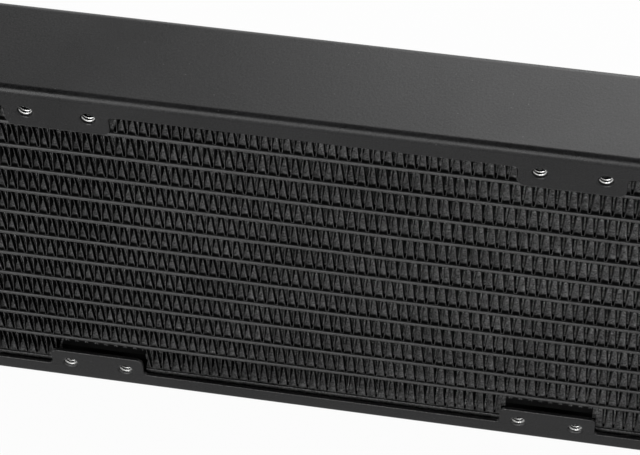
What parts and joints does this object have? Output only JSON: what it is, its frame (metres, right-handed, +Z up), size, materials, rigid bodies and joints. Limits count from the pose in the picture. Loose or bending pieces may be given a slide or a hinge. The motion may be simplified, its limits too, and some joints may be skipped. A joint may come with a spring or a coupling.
{
  "type": "liquid cooling radiator",
  "caption": "Slim black liquid cooling radiator with flat tubes and corrugated fins between folded side plates with screw tabs, a tank at each end, threaded ports and a bleed plug.",
  "frame": {"origin": "on the ground under the middle of the radiator, which stands on its long side plate", "axes": "+X along the radiator towards the ports, -Y out of the front fan face, +Z up across the tubes"},
  "size_m": [0.402, 0.027, 0.12],
  "materials": {
    "frame_paint": "satin black paint on folded aluminium sheet",
    "tube_paint": "satin black paint on flat aluminium tube",
    "fin_paint": "thin satin black paint on aluminium fin sheet",
    "port_metal": "black painted brass, bare in the thread",
    "bare_metal": "bright nickel plated brass, and the bare metal of the cut threads",
    "seal_rubber": "matte black rubber"
  },
  "bodies": {
    "radiator": {"side_plate_top": "frame_paint", "side_plate_bottom": "frame_paint", "support_strip_top": "frame_paint", "support_strip_bottom": "frame_paint", "inlet_header_plate": "frame_paint", "return_header_plate": "frame_paint", "inlet_tank": "frame_paint", "return_tank": "frame_paint", "tank_baffle": "frame_paint", "tube_01": "tube_paint", "tube_02": "tube_paint", "tube_03": "tube_paint", "tube_04": "tube_paint", "tube_05": "tube_paint", "tube_06": "tube_paint", "tube_07": "tube_paint", "tube_08": "tube_paint", "tube_09": "tube_paint", "tube_10": "tube_paint", "tube_11": "tube_paint", "fin_strip_01": "fin_paint", "fin_strip_02": "fin_paint", "fin_strip_03": "fin_paint", "fin_strip_04": "fin_paint", "fin_strip_05": "fin_paint", "fin_strip_06": "fin_paint", "fin_strip_07": "fin_paint", "fin_strip_08": "fin_paint", "fin_strip_09": "fin_paint", "fin_strip_10": "fin_paint", "fin_strip_11": "fin_paint", "fin_strip_12": "fin_paint", "inlet_port": "port_metal", "outlet_port": "port_metal", "bleed_port": "port_metal"},
    "plug_seal": {"bleed_plug_seal": "seal_rubber"},
    "plug": {"bleed_plug": "bare_metal"}
  },
  "joints": [
    {"name": "plug_travel", "type": "slide", "parent": "radiator", "child": "plug_seal", "axis": [-1, 0, 0], "range_m": [0, 0.00803]},
    {"name": "plug_turn", "type": "hinge", "parent": "plug_seal", "child": "plug", "pos_m": [-0.199, 0, 0.096], "axis": [-1, 0, 0], "range_deg": [0, 2160]}
  ],
  "couplings": [
    {"joint": "plug_travel", "follows": "plug_turn", "m_per_rad": 0.00021279}
  ]
}
